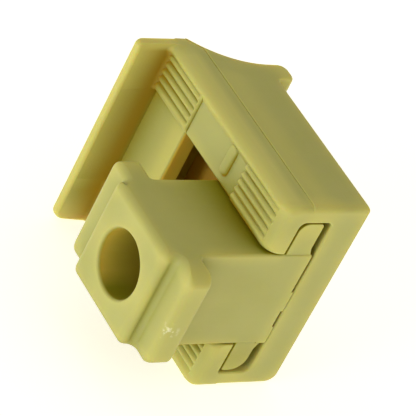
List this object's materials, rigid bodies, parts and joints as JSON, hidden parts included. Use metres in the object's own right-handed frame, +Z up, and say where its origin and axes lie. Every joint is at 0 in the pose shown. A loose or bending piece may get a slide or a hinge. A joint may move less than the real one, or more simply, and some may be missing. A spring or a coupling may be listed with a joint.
{
  "type": "sliding clamp connector",
  "caption": "Slotted saddle block for a round tube, with a square post that slides in the slot and carries a deep round bore for a cable end in its winged head.",
  "frame": {"origin": "middle of the part's box on its lowest plane, the side wall that the body lies on", "axes": "+X along the slot towards its open end, -Y the way the post's head faces, +Y towards the back lip, +Z up across the slot"},
  "size_m": [0.0338, 0.0278, 0.0276],
  "materials": {
    "body_plastic": "satin olive-yellow nylon, slightly translucent",
    "post_plastic": "satin olive-yellow nylon, slightly translucent",
    "spring_steel": "plain drawn spring wire"
  },
  "bodies": {
    "body": {"body": "body_plastic"},
    "post": {"post": "post_plastic", "grip_spring": "spring_steel"}
  },
  "joints": [
    {"name": "post_slide", "type": "slide", "parent": "body", "child": "post", "axis": [1, 0, 0], "range_m": [-0.008, 0.006]}
  ]
}
